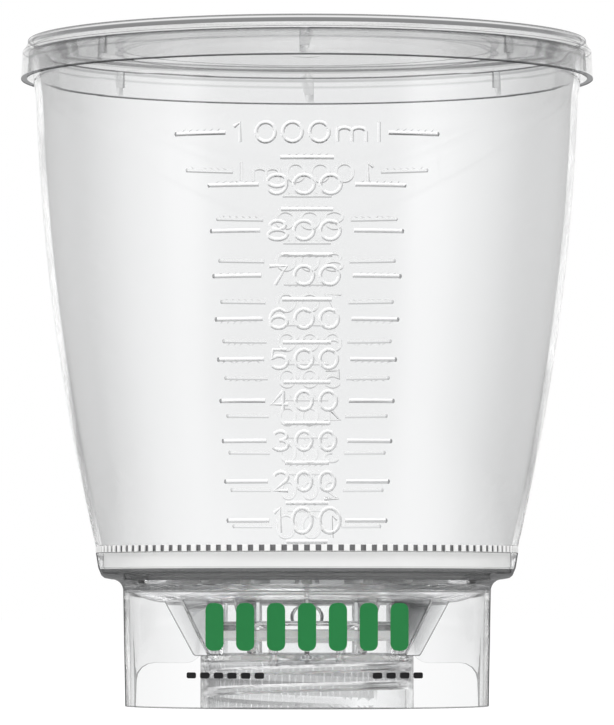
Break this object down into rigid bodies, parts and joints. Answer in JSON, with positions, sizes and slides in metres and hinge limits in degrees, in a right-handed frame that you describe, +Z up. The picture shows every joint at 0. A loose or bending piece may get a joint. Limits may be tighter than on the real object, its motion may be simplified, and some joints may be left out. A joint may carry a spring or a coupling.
{
  "type": "vacuum filtration unit",
  "caption": "Clear bottle-top vacuum filter: graduated funnel with lid, toothed clamp ring, membrane on a slotted plate, and a skirted base with screw neck and hose barb.",
  "frame": {"origin": "middle of the ring that the base's skirt stands on", "axes": "+Z up along the unit's axis, -Y to the front where the scale is read, +Y to the back where the hose barb leaves the skirt"},
  "size_m": [0.1358, 0.1358, 0.1578],
  "materials": {
    "clear_plastic": "clear injection-moulded polystyrene, glossy",
    "white_plastic": "opaque white moulded plastic, satin",
    "white_silicone": "soft white silicone, matte",
    "membrane_white": "fine matte white filter membrane"
  },
  "bodies": {
    "root": {"base": "clear_plastic", "gasket": "white_silicone", "support_plate": "white_plastic", "membrane": "membrane_white", "clamp_ring": "white_plastic", "funnel": "clear_plastic", "lid": "clear_plastic"}
  },
  "joints": []
}
